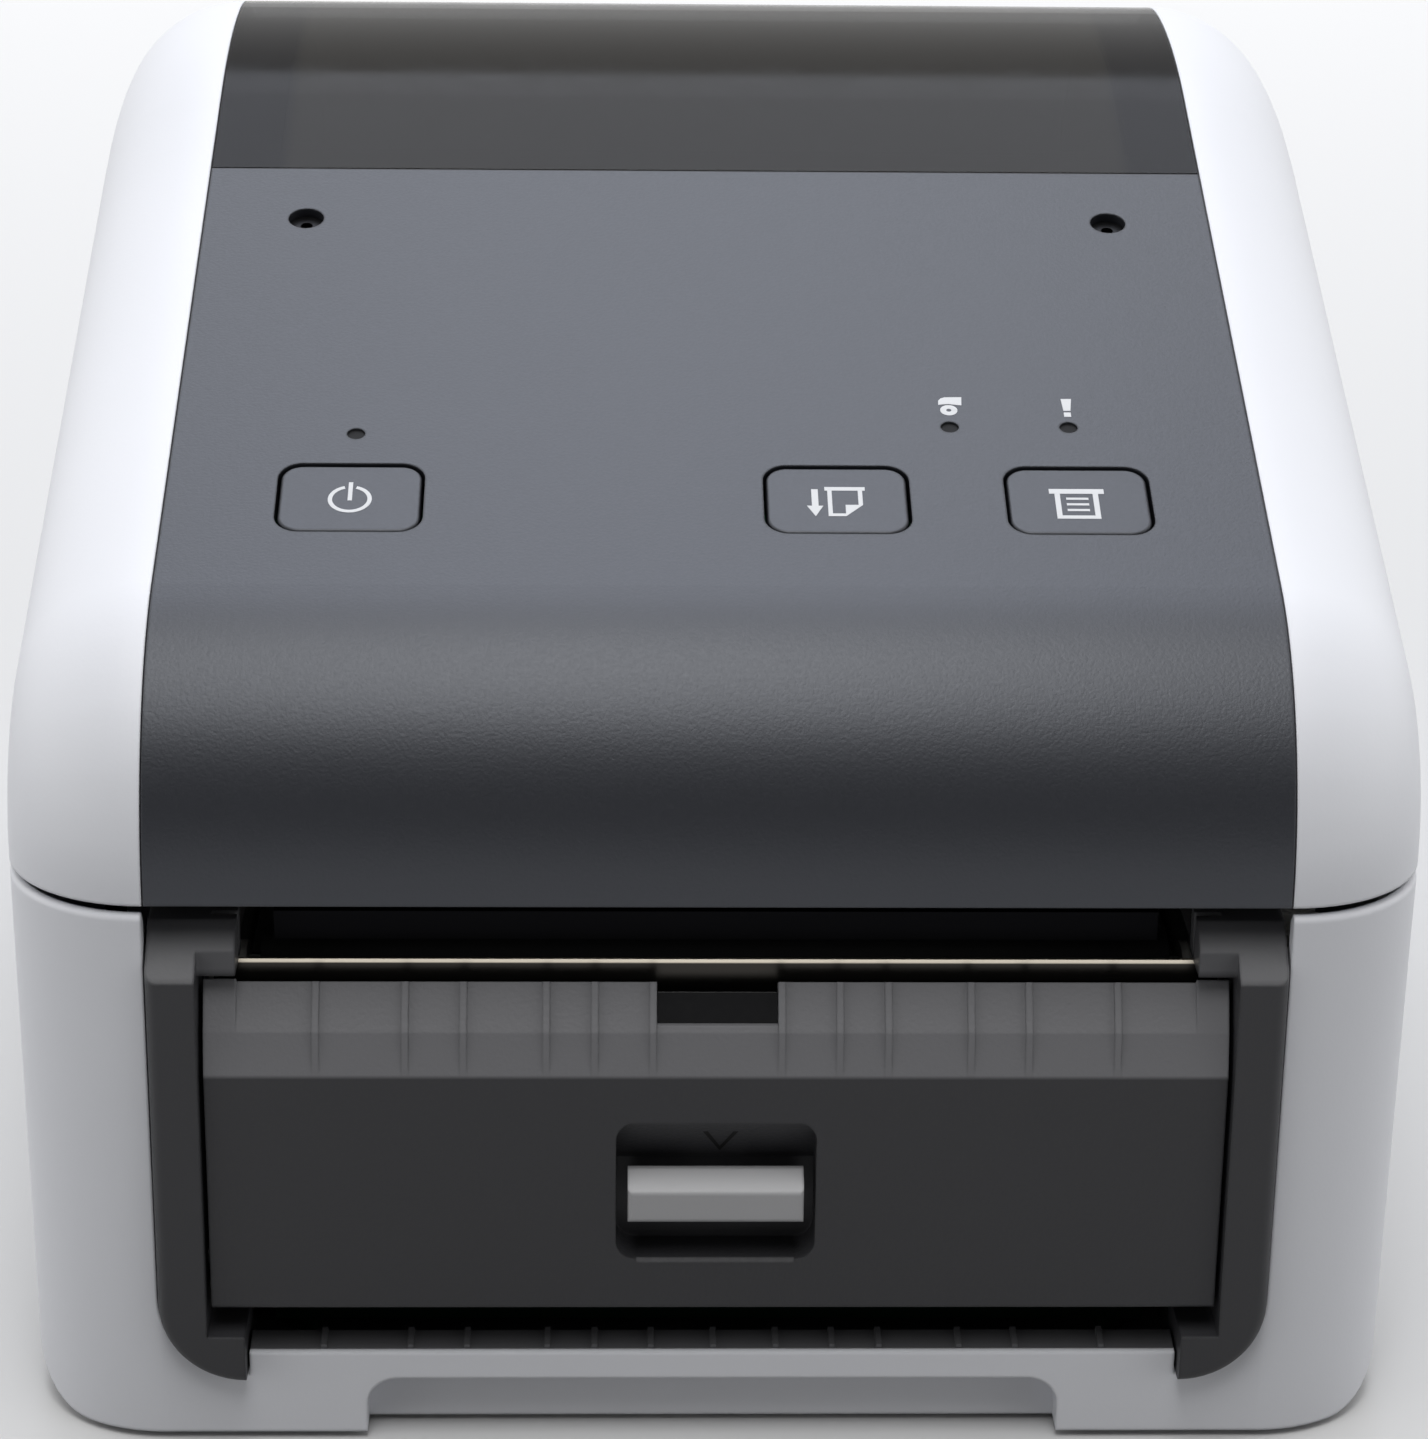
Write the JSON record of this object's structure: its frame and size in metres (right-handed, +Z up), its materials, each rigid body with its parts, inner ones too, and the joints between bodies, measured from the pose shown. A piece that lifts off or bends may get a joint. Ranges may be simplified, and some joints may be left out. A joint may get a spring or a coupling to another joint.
{
  "type": "label maker",
  "caption": "Desktop thermal label printer with a hinged cover, smoked roll window, sloping key panel and a fold-down peel door at the front.",
  "frame": {"origin": "centre of the footprint, on the surface that the rubber feet stand on", "axes": "+X right of someone facing the front, +Y to the back, +Z up"},
  "size_m": [0.18, 0.224, 0.155],
  "materials": {
    "white_shell": "fine moulded grain, white",
    "dark_shell": "fine moulded grain, dark blue grey",
    "key_cap": "fine moulded grain, dark blue grey",
    "smoked_window": "clear smoked plastic, polished",
    "dark_frame": "moulded grain, charcoal",
    "inner_plastic": "plain moulded, near black",
    "grey_lever": "smooth mid grey",
    "sensor_black": "polished black",
    "steel": "drawn steel",
    "soft_rubber": "black rubber",
    "gear_resin": "natural resin",
    "circuit_board": "green solder mask",
    "motor_case": "plated steel can",
    "socket_metal": "stamped shield",
    "socket_black": "black moulding",
    "light_pipe": "tinted clear plastic, unlit",
    "head_ceramic": "glazed ceramic strip",
    "heat_sink": "extruded aluminium"
  },
  "bodies": {
    "base": {"base_shell": "white_shell", "bottom_plate": "inner_plastic", "bottom_screws": "steel", "rubber_feet": "soft_rubber", "front_frame": "dark_frame", "tear_bar": "steel", "liner_guide": "dark_frame", "chassis_plate_left": "steel", "chassis_plate_right": "steel", "platen_bushes": "gear_resin", "gear_post": "steel", "stepper_motor": "motor_case", "roll_tray": "inner_plastic", "main_board": "circuit_board", "rear_board": "circuit_board", "dc_jack": "socket_black", "serial_port": "socket_metal", "usb_port": "socket_metal", "network_port": "socket_metal", "media_sensor": "sensor_black", "hinge_brackets": "inner_plastic", "cover_catches": "steel"},
    "cover": {"cover_side_left": "white_shell", "cover_side_right": "white_shell", "cover_panel": "dark_shell", "roll_window": "smoked_window", "cover_rear_panel": "dark_shell", "hinge_pins": "steel", "cover_frame": "inner_plastic", "panel_screws": "steel", "panel_board": "circuit_board", "tact_switches": "sensor_black", "light_pipes": "light_pipe", "catch_pins": "steel", "head_bracket": "inner_plastic", "head_pin": "steel", "head_springs": "steel"},
    "print_head": {"print_head": "head_ceramic", "heat_sink": "heat_sink"},
    "power_button": {"power_button": "key_cap"},
    "feed_button": {"feed_button": "key_cap"},
    "print_button": {"print_button": "key_cap"},
    "peel_door": {"peel_door": "dark_frame", "door_pins": "steel", "label_sensor": "sensor_black"},
    "door_lever": {"door_lever": "grey_lever"},
    "peel_roller": {"peel_roller": "soft_rubber"},
    "platen": {"platen_shaft": "steel", "platen_rubber": "soft_rubber", "platen_gear": "gear_resin"},
    "idler": {"idler_gear": "gear_resin"},
    "motor_pinion": {"motor_pinion": "gear_resin"},
    "guide_right": {"roll_guide_right": "inner_plastic"},
    "guide_left": {"roll_guide_left": "inner_plastic"},
    "guide_pinion": {"guide_pinion": "gear_resin"}
  },
  "joints": [
    {"name": "cover_hinge", "type": "hinge", "parent": "base", "child": "cover", "pos_m": [0, 0.106, 0.091], "axis": [-1, 0, 0], "range_deg": [0, 95], "deforming": ["cover_catches"]},
    {"name": "head_float", "type": "hinge", "parent": "cover", "child": "print_head", "pos_m": [0, -0.084, 0.073], "axis": [-1, 0, 0], "range_deg": [0, 3], "stiffness_Nm_per_rad": 2, "springref_deg": -17.19, "deforming": ["head_springs"]},
    {"name": "power_press", "type": "slide", "parent": "cover", "child": "power_button", "axis": [0, 0.3378, -0.9412], "range_m": [0, 0.0007], "stiffness_N_per_m": 800, "springref_m": -0.0005},
    {"name": "feed_press", "type": "slide", "parent": "cover", "child": "feed_button", "axis": [0, 0.3378, -0.9412], "range_m": [0, 0.0007], "stiffness_N_per_m": 800, "springref_m": -0.0005},
    {"name": "print_press", "type": "slide", "parent": "cover", "child": "print_button", "axis": [0, 0.3378, -0.9412], "range_m": [0, 0.0007], "stiffness_N_per_m": 800, "springref_m": -0.0005},
    {"name": "door_hinge", "type": "hinge", "parent": "base", "child": "peel_door", "pos_m": [0, -0.1055, 0.025], "axis": [1, 0, 0], "range_deg": [0, 95]},
    {"name": "lever_slide", "type": "slide", "parent": "peel_door", "child": "door_lever", "axis": [0, 0, -1], "range_m": [0, 0.0045], "stiffness_N_per_m": 300, "springref_m": -0.002},
    {"name": "peel_roller_spin", "type": "hinge", "parent": "peel_door", "child": "peel_roller", "pos_m": [0, -0.1026, 0.0532], "axis": [1, 0, 0], "continuous": true},
    {"name": "platen_spin", "type": "hinge", "parent": "base", "child": "platen", "pos_m": [0, -0.093, 0.0585], "axis": [1, 0, 0], "continuous": true},
    {"name": "idler_spin", "type": "hinge", "parent": "base", "child": "idler", "pos_m": [0.0747, -0.0865, 0.03426], "axis": [1, 0, 0], "continuous": true},
    {"name": "motor_spin", "type": "hinge", "parent": "base", "child": "motor_pinion", "pos_m": [0.0747, -0.06474, 0.03042], "axis": [1, 0, 0], "continuous": true},
    {"name": "guide_right_slide", "type": "slide", "parent": "base", "child": "guide_right", "axis": [-1, 0, 0], "range_m": [-0.003, 0.04]},
    {"name": "guide_left_slide", "type": "slide", "parent": "base", "child": "guide_left", "axis": [1, 0, 0], "range_m": [-0.003, 0.04]},
    {"name": "guide_pinion_spin", "type": "hinge", "parent": "base", "child": "guide_pinion", "pos_m": [0, 0.038, 0.0075], "axis": [0, 0, 1], "range_deg": [-25, 290]}
  ],
  "couplings": [
    {"joint": "idler_spin", "follows": "platen_spin", "ratio": -0.66667},
    {"joint": "motor_spin", "follows": "platen_spin", "ratio": 1.4286},
    {"joint": "guide_left_slide", "follows": "guide_right_slide", "ratio": 1},
    {"joint": "guide_pinion_spin", "follows": "guide_right_slide", "rad_per_m": 125}
  ]
}
